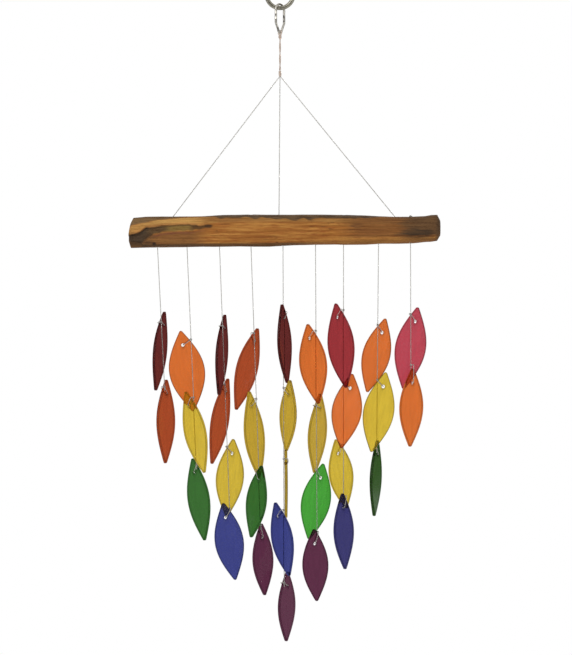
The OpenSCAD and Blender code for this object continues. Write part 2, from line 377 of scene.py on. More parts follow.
def mix_colour(tree, factor, first, second, kind="MIX"):
    """Two colours, sockets or values, mixed by a factor, a socket or a value."""
    node = tree.nodes.new("ShaderNodeMix")
    node.data_type = "RGBA"
    node.blend_type = kind
    for socket, value in ((node.inputs[0], factor), (node.inputs[6], first), (node.inputs[7], second)):
        if isinstance(value, bpy.types.NodeSocket):
            tree.links.new(value, socket)
        elif isinstance(value, tuple):
            socket.default_value = (*value, 1)
        else:
            socket.default_value = value
    return node.outputs[2]


def spread(tree, factor, low, high):
    """A noise value spread between low and high."""
    node = tree.nodes.new("ShaderNodeMapRange")
    node.inputs["From Min"].default_value = NOISE_LOW
    node.inputs["From Max"].default_value = NOISE_HIGH
    node.inputs["To Min"].default_value = low
    node.inputs["To Max"].default_value = high
    tree.links.new(factor, node.inputs["Value"])
    return node.outputs["Result"]


def bump(tree, shader, height, strength, distance):
    node = tree.nodes.new("ShaderNodeBump")
    node.inputs["Strength"].default_value = strength
    node.inputs["Distance"].default_value = distance
    tree.links.new(height, node.inputs["Height"])
    tree.links.new(node.outputs["Normal"], shader.inputs["Normal"])


def attribute(tree, name, output):
    node = tree.nodes.new("ShaderNodeAttribute")
    node.attribute_name = name
    return node.outputs[output]


def glass_material(name, colour):
    """Coloured sheet glass with faint streaks and painted shade on its rounded edges and in its hole,
    which lets the lamps through.
    """
    material, tree, shader = new_material("glass_" + name.replace(" ", "_"))
    deep = tuple(channel * GLASS_DEEP for channel in colour)
    light = tuple(min(channel * GLASS_LIGHT, 1) for channel in colour)
    edge_shade_colour = tuple(channel * GLASS_EDGE_SHADE for channel in colour)
    streaks = noise_value(tree, coordinates(tree, (420, 420, 46)), 4)
    body_colour = ramp(tree, streaks, [(0.3, deep), (0.52, colour), (0.72, light)])
    # painted shade: the rounded edges and the hole's wall take the darker edge colour by their share in
    # the edge attribute
    with_edge_shade = mix_colour(tree, attribute(tree, "edge", "Fac"), body_colour, edge_shade_colour)
    tree.links.new(with_edge_shade, shader.inputs["Base Color"])
    ripple = noise_value(tree, coordinates(tree, (160, 160, 110)), 3)
    tree.links.new(spread(tree, ripple, 0.06, 0.16), shader.inputs["Roughness"])
    shader.inputs["IOR"].default_value = 1.12
    shader.inputs["Transmission Weight"].default_value = 0.84
    bump(tree, shader, ripple, 0.04, 0.0003)
    tinted = tree.nodes.new("ShaderNodeBsdfTransparent")
    tinted.inputs["Color"].default_value = (*[math.sqrt(channel) for channel in light], 1)
    path = tree.nodes.new("ShaderNodeLightPath")
    mix = tree.nodes.new("ShaderNodeMixShader")
    tree.links.new(path.outputs["Is Shadow Ray"], mix.inputs[0])
    tree.links.new(shader.outputs[0], mix.inputs[1])
    tree.links.new(tinted.outputs[0], mix.inputs[2])
    tree.links.new(mix.outputs[0], tree.nodes["Material Output"].inputs["Surface"])
    return material


def cord_material(name, dark, light, clear):
    """Spun fibre: paler ridges and darker hollows, painted light and shade from the noise that also makes
    the bump, and fine fuzz; clear fibres take the colour behind them.
    """
    material, tree, shader = new_material(name)
    fibre = noise_value(tree, coordinates(tree, (1500, 1500, 700)), 4)
    # painted shade and light: the fibre noise darkens the colour where the bump is low and lightens it
    # where it is high
    tree.links.new(ramp(tree, fibre, [(0.32, dark), (0.62, light)]), shader.inputs["Base Color"])
    tree.links.new(spread(tree, fibre, 0.95, 0.7), shader.inputs["Roughness"])
    shader.inputs["Sheen Weight"].default_value = 0.2
    shader.inputs["IOR"].default_value = 1.15
    shader.inputs["Transmission Weight"].default_value = clear
    bump(tree, shader, fibre, 0.4, 0.0002)
    return material


def metal_material(name, colour, patch_darkening, patches, low, high, uneven, depth):
    """Wire that is not quite even along its length, with darker patches from a noise."""
    material, tree, shader = new_material(name)
    patch_noise = noise_value(tree, coordinates(tree, (patches, patches, patches)), 4)
    darker = tuple(channel * patch_darkening for channel in colour)
    tree.links.new(ramp(tree, patch_noise, [(0.34, darker), (0.6, colour)]), shader.inputs["Base Color"])
    shader.inputs["Metallic"].default_value = 1.0
    fine = noise_value(tree, coordinates(tree, (900, 900, 900)), 5)
    tree.links.new(spread(tree, fine, low, high), shader.inputs["Roughness"])
    along = noise_value(tree, coordinates(tree, (60, 60, uneven)), 1)
    bump(tree, shader, along, 1.0, depth)
    return material


def wood_material():
    """Weathered wood: painted tones on the mesh, painted shade among them, with streaks of grain along the
    bar.
    """
    material, tree, shader = new_material("driftwood_grain")
    painted = attribute(tree, "tone", "Color")
    broad = noise_value(tree, coordinates(tree, (14, 520, 520)), 5, 0.6)
    grain = noise_value(tree, coordinates(tree, (40, 1400, 1400)), 5, 0.62)
    pores = noise_value(tree, coordinates(tree, (210, 2600, 2600)), 2, 0.5)
    warm = ramp(tree, broad, [(0.3, (0.7, 0.6, 0.52)), (0.5, (1, 1, 1)), (0.72, (1.2, 1.16, 1.08))])
    lined = ramp(tree, grain, [(0.33, (0.6, 0.52, 0.45)), (0.5, (0.98, 0.98, 0.98)),
                               (0.7, (1.14, 1.12, 1.1))])
    flecks = ramp(tree, pores, [(0.3, (0.62, 0.58, 0.55)), (0.46, (1, 1, 1))])
    first = mix_colour(tree, 1.0, painted, warm, "MULTIPLY")
    second = mix_colour(tree, 0.85, first, lined, "MULTIPLY")
    tree.links.new(mix_colour(tree, 0.5, second, flecks, "MULTIPLY"), shader.inputs["Base Color"])
    tree.links.new(spread(tree, grain, 0.95, 0.68), shader.inputs["Roughness"])
    shader.inputs["Specular IOR Level"].default_value = 0.2
    bump(tree, shader, grain, 0.55, 0.0006)
    return material


glass = {name: glass_material(name, colour) for name, colour in GLASS_COLOURS.items()}
string_cord = cord_material("string_cord_fibre", rgb(180, 178, 173), rgb(208, 206, 201), 0.62)
stem_cord = cord_material("stem_cord_fibre", rgb(182, 160, 144), rgb(216, 198, 184), 0.2)
ring_steel = metal_material("ring_worn_steel", rgb(152, 148, 134), 0.62, 260, 0.16, 0.3, 120, 0.0004)
link_wire = metal_material("link_bright_wire", rgb(196, 192, 182), 0.3, 140, 0.05, 0.12, 170, 0.0024)
driftwood = wood_material()


# Cords
STRANDS = 3
CORD_SIDES = 9
TIE_SIDES = 8
RINGS_A_TURN = 6
ROUTE_POINTS = 24
STRING_LAY = 3.2
BRIDLE_LAY = 3.4
CROWN_CORD_R = 0.62
CROWN_CORE_R = 0.8
CROWN_PATH_INSET = 0.75
WRAP_R = 0.55
HITCH_LAP = 0.5
STEM_STRAND_LAY = 3
STRAND_LAY = 24
STRAND_OFF = 0.42
STRAND_STEPS = 90
LOOP_STEPS = 40
STOPPER_CORD_R = 0.6
STOPPER_HALF_HEIGHT = 0.95
# how far each stopper knot is turned from the one before it, in radians
STOPPER_TURN = 1.3
# share of the gap to the string at which a tie loop runs along the glass
LOOP_CLOSE = 0.9


def string_mouth(number):
    return joint_at["string_%d_sway" % number]


def string_frame(number):
    lean = STRINGS[number][0]
    return Matrix.Translation(string_mouth(number)) @ Matrix.Rotation(math.radians(-lean), 4, "Y")


def half_width(length, width, v):
    return TIP_HALF + (width / 2 - TIP_HALF) * math.cos(math.pi * v / length)


def hole_and_knot(row):
    """The hole's centre and the knot's place beside the edge, in the leaf's own frame."""
    length, width, hand, tie = row[3], row[4], row[8], row[10]
    height = length / 2 - tie
    side = half_width(length, width, height) + EDGE_OUT
    return Vector((0, 0, length / 2 - HOLE_DROP)), Vector((hand * side, 0, height))


def leaf_frame(row):
    number, drop, yaw, roll, tilt, face = row[1], row[2], row[5], row[6], row[7], row[9]
    knot = hole_and_knot(row)[1]
    return (string_frame(number)
            @ Matrix.Translation((0, 0, -drop))
            @ Matrix.Rotation(math.radians(face * tilt), 4, "X")
            @ Matrix.Rotation(math.radians(yaw), 4, "Z")
            @ Matrix.Translation((0, face * CORD_GAP, 0))
            @ Matrix.Rotation(math.radians(-roll), 4, "Y")
            @ Matrix.Translation(-knot))


def laid_cord(name, start, end, radius, material, body, lay):
    """A straight laid cord of three strands, and the points that it follows."""
    rings = max(int((end - start).length / lay * RINGS_A_TURN), 2 * RINGS_A_TURN)
    points, faces = tube(straight(start, end, rings + 1), radius, CORD_SIDES, STRANDS, lay)
    piece = make_object(name, points, faces, material, body)
    return piece, [point * MM for point in straight(start, end, ROUTE_POINTS)]


def tie_parts(row):
    """The loop through a leaf's hole and round its edge, and the knot on the string."""
    face = row[9]
    hole, knot = hole_and_knot(row)
    near = Vector((0, -face * CORD_GAP, 0))
    close = near * LOOP_CLOSE
    outward = (knot - hole).normalized()
    # from the knot along one face to the hole, through it, back along the other face and round the edge
    corners = [
        knot + near,
        knot + close - outward * 1.5,
        hole + close + outward * 2.5,
        hole + close * 0.8 + outward * 0.6,
        hole,
        hole - close * 0.8 + outward * 0.6,
        hole - close + outward * 2.5,
        knot - close - outward * 1.5,
        knot - close * 0.6 + outward * 0.3,
        knot + close * 0.3 + outward * 0.3,
        knot + near,
    ]
    loop = tube(moved(leaf_frame(row), spline(corners, 5)), LOOP_R, TIE_SIDES)
    wrap = helix(KNOT_R - LOOP_R, KNOT_H - 2 * LOOP_R, 2.5, 40)
    at_knot = string_frame(row[1]) @ Matrix.Translation((0, 0, -row[2]))
    return [loop, tube(moved(at_knot, wrap), LOOP_R, TIE_SIDES)]


for number in STRINGS:
    body = "string_%d" % number
    rows = [row for row in LEAVES if row[1] == number]
    lowest = max(row[2] for row in rows)
    upper = string_mouth(number)
    lower = string_frame(number) @ Vector((0, 0, -lowest - TAIL))
    cord, route = laid_cord(body + "_cord", upper, lower, CORD_R, string_cord, body,
                            STRING_LAY)
    tie_points, tie_faces = joined([part for row in rows for part in tie_parts(row)])
    ties = make_object(body + "_ties", tie_points, tie_faces, string_cord, body)
    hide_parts(body)
    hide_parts(body)


def bar_top(x):
    return BAR_DATUM + lookup(x, BAR_SECTIONS, 1)


crown = joint_at["bar_turn"]
apex = crown - Vector((0, 0, CROWN_H / 2 - BRIDLE_START))
for side, x in BRIDLE_FEET.items():
    foot = Vector((x, 0, -bar_top(x)))
    foot += (foot - apex).normalized() * BRIDLE_DEPTH
    node = "bridle_" + side
    cord, route = laid_cord(node + "_cord", apex, foot, BRIDLE_R, string_cord, "bar",
                            BRIDLE_LAY)
    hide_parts(node)

# the crown knot: an overhand knot drawn tight over the ends of the bridle cords
crown_path = [crown + point
              for point in overhand(CROWN_R - CROWN_CORD_R, CROWN_H / 2 - CROWN_PATH_INSET, 72)]
crown_core = straight(crown - Vector((0, 0, CROWN_H / 2)), crown + Vector((0, 0, CROWN_H / 2)), 12)
crown_points, crown_faces = joined([tube(crown_path, CROWN_CORD_R, CORD_SIDES),
                                    tube(crown_core, CROWN_CORE_R, 10, 2, 7)])
crown_piece = make_object("crown_overhand_knot", crown_points, crown_faces, stem_cord, "bar")
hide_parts("crown_knot")

# the stem: a loop round the link's foot, a hitch and two strands laid together
link_foot = joint_at["stem_swing"]
stem_end = link_foot - Vector((0, 0, STEM_LENGTH))
hitch_top = link_foot - Vector((0, 0, STEM_LOOP_R + STEM_LOOP_CORD_R - HITCH_LAP))
hitch_end = hitch_top - Vector((0, 0, HITCH_H))
strand_parts = []
for half in (0, math.pi):
    strand = []
    for i in range(STRAND_STEPS + 1):
        centre = hitch_top.lerp(stem_end, i / STRAND_STEPS)
        turn = half + 2 * math.pi * (hitch_top - centre).length / STRAND_LAY
        strand.append(centre + STRAND_OFF * Vector((math.cos(turn), math.sin(turn), 0)))
    strand_parts.append(tube(strand, STEM_STRAND_R, CORD_SIDES, STRANDS, STEM_STRAND_LAY))
strand_points, strand_faces = joined(strand_parts)
stem_piece = make_object("stem_strands", strand_points, strand_faces, stem_cord, "stem")
loop_turn = Matrix.Translation(link_foot) @ Matrix.Rotation(math.radians(LINK_TURN), 4, "Z")
loop_path = []
for i in range(LOOP_STEPS + 1):
    turn = 2 * math.pi * i / LOOP_STEPS
    loop_path.append(loop_turn @ Vector((0, STEM_LOOP_R * math.sin(turn), -STEM_LOOP_R * math.cos(turn))))
wraps = [hitch_top.lerp(hitch_end, 0.5) + point
         for point in helix(HITCH_R - WRAP_R, HITCH_H - 2 * WRAP_R, 3, 66)]
hitch_points, hitch_faces = joined([tube(loop_path, STEM_LOOP_CORD_R, CORD_SIDES),
                                    tube(wraps, WRAP_R, CORD_SIDES)])
hitch_piece = make_object("stem_hitch", hitch_points, hitch_faces, stem_cord, "stem")
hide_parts("stem")
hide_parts("stem")

# the stopper knots in their recesses on top of the bar, with the string in each hole
stopper_parts = []
for number, (lean, recess) in STRINGS.items():
    x = string_mouth(number).x
    middle = Vector((x, 0, STOPPER_R - STOPPER_BED - bar_top(x) - recess))
    turn = Matrix.Translation(middle) @ Matrix.Rotation(number * STOPPER_TURN, 4, "Z")
    knot_path = overhand(STOPPER_R - STOPPER_CORD_R, STOPPER_HALF_HEIGHT, 60)
    stopper_parts.append(tube(moved(turn, knot_path), STOPPER_CORD_R, CORD_SIDES))
    lower = string_mouth(number) + Vector((0, 0, ANCHOR_GAP))
    upper = middle + Vector((0, 0, STOPPER_R))
    stopper_parts.append(tube(straight(lower, upper, 40), CORD_R, CORD_SIDES, STRANDS, STRING_LAY))
stopper_points, stopper_faces = joined(stopper_parts)
stoppers = make_object("string_stopper_knots", stopper_points, stopper_faces, string_cord,
                       "bar")
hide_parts("string_anchors")


# Glass leaves
SIDE_STEPS = 38
CAP_STEPS = 6
EDGE_R = 0.75
HOLE_EDGE_R = 0.3
ARC_STEPS = 3
# places of the rings on a face, from the hole's rim to the rounded edge
FACE_SHARES = (0.05, 0.25, 0.5, 0.75, 0.93, 0.985)


def leaf_outline(length, width):
    """Points round a leaf with its tips rounded, and the outward direction at each."""
    slope = (width / 2 - TIP_HALF) * math.pi / length
    tip_r = TIP_HALF / (math.sqrt(1 + slope * slope) - slope)
    lean = math.atan(slope)
    reach = length / 2 - tip_r * (1 - math.sin(lean))
    side = []
    for i in range(SIDE_STEPS + 1):
        v = reach * (2 * i / SIDE_STEPS - 1)
        side.append(Vector((half_width(length, width, v), 0, v)))
    cap = []
    for i in range(1, CAP_STEPS):
        turn = lean + (math.pi - 2 * lean) * i / CAP_STEPS
        cap.append(Vector((tip_r * math.cos(turn), 0, length / 2 - tip_r + tip_r * math.sin(turn))))
    line = side + cap
    line += [-point for point in line]
    outward = []
    for i, point in enumerate(line):
        ahead = line[(i + 1) % len(line)] - line[i - 1]
        outward.append(Vector((ahead.z, 0, -ahead.x)).normalized())
    return line, outward


def leaf_rings(length, width):
    """Rings of points from the wall of the hole, over the face and the edge, and back underneath."""
    line, outward = leaf_outline(length, width)
    hole = Vector((0, 0, length / 2 - HOLE_DROP))
    spokes = [(point - hole).normalized() for point in line]

    def hole_ring(grown, y):
        return [hole + spoke * (HOLE_R + grown) + Vector((0, y, 0)) for spoke in spokes]

    def edge_ring(inset, y):
        return [point - out * inset + Vector((0, y, 0)) for point, out in zip(line, outward)]

    top = GLASS / 2
    # each ring carries its share of painted shade: the hole's wall and rim, and the rounded edge, most
    # where it turns
    half = [(hole_ring(0, 0), HOLE_WALL_SHADE)]
    for i in range(ARC_STEPS + 1):
        turn = math.pi / 2 * i / ARC_STEPS
        grown = HOLE_EDGE_R * (1 - math.cos(turn))
        level = top - HOLE_EDGE_R * (1 - math.sin(turn))
        half.append((hole_ring(grown, level), HOLE_RIM_SHADE))
    inner = hole_ring(HOLE_EDGE_R, top)
    outer = edge_ring(EDGE_R, top)
    for share in FACE_SHARES:
        half.append(([a.lerp(b, share) for a, b in zip(inner, outer)], 0))
    for i in range(ARC_STEPS + 1):
        turn = math.pi / 2 * i / ARC_STEPS
        ring = edge_ring(EDGE_R * (1 - math.sin(turn)), top - EDGE_R * (1 - math.cos(turn)))
        half.append((ring, CORNER_SHADE + CORNER_MORE_SHADE * math.sin(2 * turn)))
    half.append((edge_ring(0, 0), EDGE_MIDDLE_SHADE))
    under = [([Vector((p.x, -p.y, p.z)) for p in ring], shade_weight) for ring, shade_weight in reversed(half[1:-1])]
    return half + under


for row in LEAVES:
    node, length, width, colour = row[0], row[3], row[4], row[11]
    rings = leaf_rings(length, width)
    points = [point for ring, shade_weight in rings for point in ring]
    edge_shade_weights = [shade_weight for ring, shade_weight in rings for point in ring]
    faces = grid_faces(len(rings), len(rings[0][0]), True)
    piece = make_object("glass_" + node, points, faces, glass[colour], None)
    # the painted shade on the rounded edges and in the hole, for the glass material
    layer = piece.data.attributes.new("edge", "FLOAT", "POINT")
    layer.data.foreach_set("value", edge_shade_weights)
    place = leaf_frame(row)
    place.translation = place.translation * MM
    piece.matrix_world = place
    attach(piece, node)
    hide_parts(node)


# Driftwood bar
BAR_STEPS = 420
BAR_SIDES = 150
CAP_RINGS = 8
CAP_DEPTH = 0.6
CAP_ROUGH = 0.8
# how far the section lies inside the source's, so that the grain stays within it
SKIN = 0.4
BROAD_GRAIN = 0.45
FINE_GRAIN = 0.22
CRACK_DEPTH = 0.6
first_x = BAR_SECTIONS[0][0]
last_x = BAR_SECTIONS[-1][0]

# lines on the front of the bar: place along it, distance below its highest stretch
GREY_CORNER = [(-151, 11.5), (-138, 9), (-125, 6), (-105, 4), (-92, 2.5)]
LIP = [(-151, 22), (-141, 18.6), (-137, 16), (-134, 13.3), (-124, 12.3), (-117, 11.2), (-107, 10.8),
       (-98, 10.2), (-90, 10.2), (-80, 11.2), (-68, 10.8)]
HOLLOW_FLOOR = [(-151, 38), (-141, 36), (-137, 30), (-133, 25.5), (-126, 20), (-116, 18), (-107, 17.2),
                (-88, 16.6), (-76, 14.6), (-68, 12)]
# place along the bar, depth of the hollow under the lip
HOLLOW_DEPTH = [(-151, 4.2), (-132, 3.2), (-118, 2.2), (-100, 1.7), (-82, 1.4), (-68, 0.2)]
# place along the bar, how far the bark and knots stand out above and below
SWELL = [(-151, -0.4, 0.7), (-130, -0.2, 0.2), (-106, 0, 0.3), (-66, 0.1, 0.5), (-40, -0.1, 0.3),
         (-10, 0, 0.9), (14, 0, 0), (34, 0.2, 0), (54, 0.6, 0.4), (64, 0.7, 1), (86, 0.9, 1.2),
         (102, 0.4, 0.8), (120, 0.1, 1), (134, 0, 1.2), (151, -0.3, 0.9), (160, 0, 0)]
# how far the upper corner of the left end is broken back, and where along and down the bar that ends
CORNER_BACK = 3.3
CORNER_END = -128
CORNER_DOWN = 19
# place along the bar, height of the strip of bark left along the top of the front
BARK = [(-78, 0), (-62, 3), (-30, 4.2), (0, 5), (30, 4.6), (55, 3.8), (78, 2.6), (104, 0)]


def streak(x, y, z, along, across, seed):
    """A value about -1 to 1 that changes slowly along the bar."""
    return noise.noise(Vector((x * along + seed, y * across + seed * 0.7, z * across - seed)))


def squarer(value):
    """A cosine or sine pushed outwards, so that the section is squarer than an ellipse."""
    return math.copysign(abs(value) ** BAR_ROUND, value)


def hollow_share(x, down, front):
    """How far a place lies in the split hollow at the left end."""
    if x > LIP[-1][0]:
        return 0
    ragged = 0.8 * streak(x, 0, down, 0.25, 0.1, 2.2)
    upper = lookup(x, LIP) + ragged
    floor = lookup(x, HOLLOW_FLOOR) + ragged
    return front * smooth_step(down, upper - 0.3, upper + 0.5) * smooth_step(floor - down, -0.8, 1.6)


def wood_point(x, turn, shrink):
    """A point of the bar's surface, with its grain, cracks and split."""
    top = lookup(x, BAR_SECTIONS, 1) - lookup(x, SWELL, 1)
    under = lookup(x, BAR_SECTIONS, 2) + lookup(x, SWELL, 2)
    depth = lookup(x, BAR_SECTIONS, 3) - SKIN
    flat = math.cos(turn)
    tall = math.sin(turn)
    y = depth * squarer(flat) * shrink
    down = (top + under) / 2 - (under - top) / 2 * squarer(tall) * shrink
    front = smooth_step(-flat, 0.15, 0.5)
    push = BROAD_GRAIN * streak(x, y, down, 0.02, 0.16, 3.1)
    push += FINE_GRAIN * streak(x, y, down, 0.05, 0.6, 8.4)
    crack = abs(streak(x, y, down, 0.012, 0.4, 15.2))
    cracked = smooth_step(streak(x, y, down, 0.02, 0.05, 21), 0, 0.35)
    crack = 1 - cracked * (1 - smooth_step(crack, 0, 0.045))
    push -= CRACK_DEPTH * (1 - crack)
    hollow = hollow_share(x, down, front)
    push -= hollow * (lookup(x, HOLLOW_DEPTH) + 0.6 * streak(x, y, down, 0.09, 0.4, 5))
    out = Vector((0, flat, tall)).normalized()
    corner = max(CORNER_DOWN - down, 0) / CORNER_DOWN
    back = CORNER_BACK * corner * (1 - smooth_step(x, first_x, CORNER_END))
    point = Vector((x + back, y, -BAR_DATUM - down)) + out * push
    return point, down, front, hollow, crack


def patch(x, down, x_middle, down_middle, x_reach, down_reach):
    """A soft oval on the front, 1 in its middle."""
    away = math.hypot((x - x_middle) / x_reach, (down - down_middle) / down_reach)
    return 1 - smooth_step(away, 0.4, 1)


def wood_tone(x, y, down, front, hollow, crack, turn):
    """The painted tone of the wood at a place, with painted shade in its cracks, its hollow, a notch,
    under the lip and along its underside.
    """
    long_streak = streak(x, y, down, 0.025, 0.45, 31)
    short_streak = streak(x, y, down, 0.1, 1.1, 47)
    top = lookup(x, BAR_SECTIONS, 1)
    under = lookup(x, BAR_SECTIONS, 2)
    upper = lookup(x, LIP)
    floor = lookup(x, HOLLOW_FLOOR)
    left = 1 - smooth_step(x, -92, -66)
    tone = blend(rgb(154, 98, 42), rgb(174, 121, 58), smooth_step(long_streak, -0.35, 0.45))
    tone = blend(tone, rgb(142, 80, 36), 0.6 * smooth_step(short_streak, 0.05, 0.45))
    # painted shade: the cracks darkened to a deep brown
    tone = blend(tone, rgb(92, 58, 32), 0.8 * (1 - crack))
    lower_left = left * front * smooth_step(down, floor, floor + 3)
    tone = blend(tone, rgb(112, 76, 42), 0.75 * lower_left)
    upper_band = (1 - left) * front * smooth_step(top + 9.5 - down, 0, 3)
    tone = blend(tone, rgb(138, 106, 60), 0.45 * upper_band)
    seam = left * front * (1 - smooth_step(abs(down - floor - 1.6 - short_streak), 0.4, 1.6))
    tone = blend(tone, rgb(104, 58, 44), 0.7 * seam * smooth_step(x, -130, -120))
    edge_of_grey = lookup(x, GREY_CORNER) + 1.5 * long_streak
    above_lip = smooth_step(upper + 0.6 - down, 0, 1)
    below_grey = smooth_step(down, edge_of_grey - 0.6, edge_of_grey + 1)
    pale = left * front * above_lip * below_grey
    tone = blend(tone, rgb(188, 148, 84), (0.5 + 0.25 * smooth_step(x, -140, -120)) * pale)
    tone = blend(tone, rgb(158, 102, 56), 0.6 * pale * smooth_step(down, upper - 3, upper - 0.6))
    grey = (1 - smooth_step(x, -108, -88)) * (1 - smooth_step(down, edge_of_grey - 1, edge_of_grey + 0.6))
    tone = blend(tone, rgb(110, 90, 62), 0.85 * grey)
    # in the split hollow: the split wood's own tones, with painted shade that is deepest at the left where
    # the hollow is deepest
    hollow_tone_and_shade = blend(rgb(62, 52, 42), rgb(92, 70, 44), smooth_step(x, -140, -126))
    hollow_tone_and_shade = blend(hollow_tone_and_shade, rgb(134, 108, 56), smooth_step(x + 4 * short_streak, -118, -106))
    hollow_tone_and_shade = blend(hollow_tone_and_shade, rgb(96, 68, 38), smooth_step(x + 4 * short_streak, -94, -84))
    tone = blend(tone, hollow_tone_and_shade, hollow)
    left_end = (1 - smooth_step(x + 6 * long_streak, -134, -122)) * front * smooth_step(down, 17, 21)
    tone = blend(tone, rgb(74, 56, 38), 0.7 * left_end)
    lip_shadow = left * front * (1 - smooth_step(abs(down - upper - 0.5), 0.2, 1))
    tone = blend(tone, rgb(58, 44, 32), 0.6 * lip_shadow)
    # painted shade: a dark patch where a notch ends the hollow
    tone = blend(tone, rgb(66, 44, 24), patch(x, down, -71.5, 11.8, 6.5, 2.4) * front)
    tone = blend(tone, rgb(50, 35, 25), patch(x, down, -125.3, 30, 3, 3) * front)
    smudge = patch(x, down, 76, 13.5, 10, 8) * smooth_step(short_streak + 0.5 * long_streak, -0.35, 0.3)
    tone = blend(tone, rgb(98, 66, 40), 0.75 * smudge * front)
    above_strip = 1 - smooth_step(down, under - 7, under - 4.5)
    right_shade = smooth_step(x + 10 * long_streak, 52, 86) * above_strip
    tone = blend(tone, rgb(114, 73, 37), 0.78 * right_shade)
    light_strip = smooth_step(x, 45, 75) * smooth_step(down, under - 6, under - 4)
    tone = blend(tone, rgb(152, 104, 50), 0.6 * light_strip * front)
    low_strip = smooth_step(down, under - 6.5, under - 4)
    right = smooth_step(x + 9 * short_streak + 6 * long_streak, 114, 130) * (1 - 0.7 * low_strip)
    tone = blend(tone, rgb(90, 66, 41), 0.85 * right)
    wedge = patch(x, down, 137, 18.5, 24, 7)
    wedge *= smooth_step(long_streak + short_streak, -0.7, 0.1)
    tone = blend(tone, rgb(62, 47, 33), 0.85 * wedge * front)
    tone = blend(tone, rgb(80, 59, 39), 0.8 * smooth_step(x, 153, 158))
    # painted shade along the underside, weaker towards the right
    below = smooth_step(down, under - 3.4, under - 1.6) * (1 - 0.75 * smooth_step(x, 5, 50))
    tone = blend(tone, rgb(78, 56, 34), 0.8 * below)
    bark_height = lookup(x, BARK) * (1 + 0.5 * streak(x, 0, 0, 0.13, 1, 61))
    bark = smooth_step(top + bark_height + 0.4 - down, 0, 0.9) * smooth_step(bark_height, 0, 0.8)
    bark_tone = blend(rgb(58, 42, 29), rgb(98, 78, 55), smooth_step(short_streak, -0.3, 0.4))
    tone = blend(tone, bark_tone, 0.92 * bark)
    top_face = smooth_step(math.sin(turn), 0.86, 0.97)
    return blend(tone, rgb(86, 66, 45), 0.6 * top_face * (1 - bark))


def even_turns(count):
    """Angles that place points at even distances round a section of the bar."""
    fine = 4000
    reach = [0]
    last = None
    for i in range(fine + 1):
        turn = 2 * math.pi * i / fine
        place = Vector((squarer(math.cos(turn)), squarer(math.sin(turn))))
        if last is not None:
            reach.append(reach[-1] + (place - last).length)
        last = place
    turns = []
    at = 0
    for k in range(count):
        wanted = reach[-1] * k / count
        while reach[at + 1] < wanted:
            at += 1
        turns.append(2 * math.pi * at / fine)
    return turns


bar_turns = even_turns(BAR_SIDES)
bar_points = []
bar_tones = []


def add_bar_ring(x, shrink, shift):
    for turn in bar_turns:
        point, down, front, hollow, crack = wood_point(x, turn, shrink)
        point.x += shift + (1 - shrink) * CAP_ROUGH * streak(x, point.y, point.z, 0.1, 0.35, 12)
        bar_points.append(point)
        bar_tones.append(wood_tone(x, point.y, down, front, hollow, crack, turn))


for ring in range(1, CAP_RINGS):
    add_bar_ring(first_x, ring / CAP_RINGS, CAP_DEPTH)
for step in range(BAR_STEPS + 1):
    add_bar_ring(first_x + (last_x - first_x) * step / BAR_STEPS, 1, 0)
for ring in range(CAP_RINGS - 1, 0, -1):
    add_bar_ring(last_x, ring / CAP_RINGS, -CAP_DEPTH)
bar_rings = len(bar_points) // BAR_SIDES
bar_faces = grid_faces(bar_rings, BAR_SIDES)
bar_faces.append(tuple(range(BAR_SIDES)))
bar_faces.append(tuple(len(bar_points) - 1 - k for k in range(BAR_SIDES)))
bar = make_object("driftwood_stick", bar_points, bar_faces, driftwood, "bar")
tones = bar.data.color_attributes.new("tone", "FLOAT_COLOR", "POINT")
tones.data.foreach_set("color", [channel for tone in bar_tones for channel in (*tone, 1)])
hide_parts("driftwood_bar")

# the drilled holes and the recesses of the stopper knots, cut with tools that reach past the wood
DRILL_PAST = 4
DRILL_LAP = 0.5
RECESS_PAST = 6
DRILL_SIDES = 20
RECESS_SIDES = 28
drill_parts = []
for number, (lean, recess) in STRINGS.items():
    x = string_mouth(number).x
    recess_floor = Vector((x, 0, -bar_top(x) - recess))
    recess_top = recess_floor + Vector((0, 0, recess + RECESS_PAST))
    hole_foot = string_mouth(number) - Vector((0, 0, DRILL_PAST))
    hole_top = recess_floor + Vector((0, 0, DRILL_LAP))
    drill_parts.append(tube(straight(hole_foot, hole_top, 2), STRING_HOLE_R, DRILL_SIDES))
    drill_parts.append(tube(straight(recess_floor, recess_top, 2), STOPPER_R + RECESS_GAP, RECESS_SIDES))
drill_points, drill_faces = joined(drill_parts)
drills = make_object("drills", drill_points, drill_faces, driftwood, "bar")
cut = bar.modifiers.new("drilled", "BOOLEAN")
cut.operation = "DIFFERENCE"
cut.solver = "EXACT"
cut.object = drills
bpy.context.view_layer.update()
drilled = bpy.data.meshes.new_from_object(bar.evaluated_get(bpy.context.evaluated_depsgraph_get()))
bar.modifiers.clear()
bar.data = drilled
bpy.data.objects.remove(drills)

# Metal
for node, material in (("hang_ring", ring_steel), ("link", link_wire)):
    mesh = frame["nodes"][node].data
    mesh.materials.clear()
    mesh.materials.append(material)

# Floor, light and camera
scene = bpy.context.scene
FLOOR_LEVEL = -0.72
FLOOR_SIZE = 8
# distance from the object at which the floor begins to turn white, and where it is white
FLOOR_NEAR = 0.16
FLOOR_FAR = 0.42
# strength of the soft light from all round, beside the plain white that is seen
SOFT_LEVEL = 0.62


def stage_plane(name, size, place, aim, material):
    """A square plane that is not part of the object, facing a direction."""
    mesh = bpy.data.meshes.new(name)
    half = size / 2
    corners = [(-half, -half, 0), (half, -half, 0), (half, half, 0), (-half, half, 0)]
    mesh.from_pydata(corners, [], [(0, 1, 2, 3)])
    mesh.materials.append(material)
    plane = bpy.data.objects.new(name, mesh)
    scene.collection.objects.link(plane)
    plane.location = place
    plane.rotation_euler = Vector(aim).to_track_quat("Z", "Y").to_euler()
    return plane


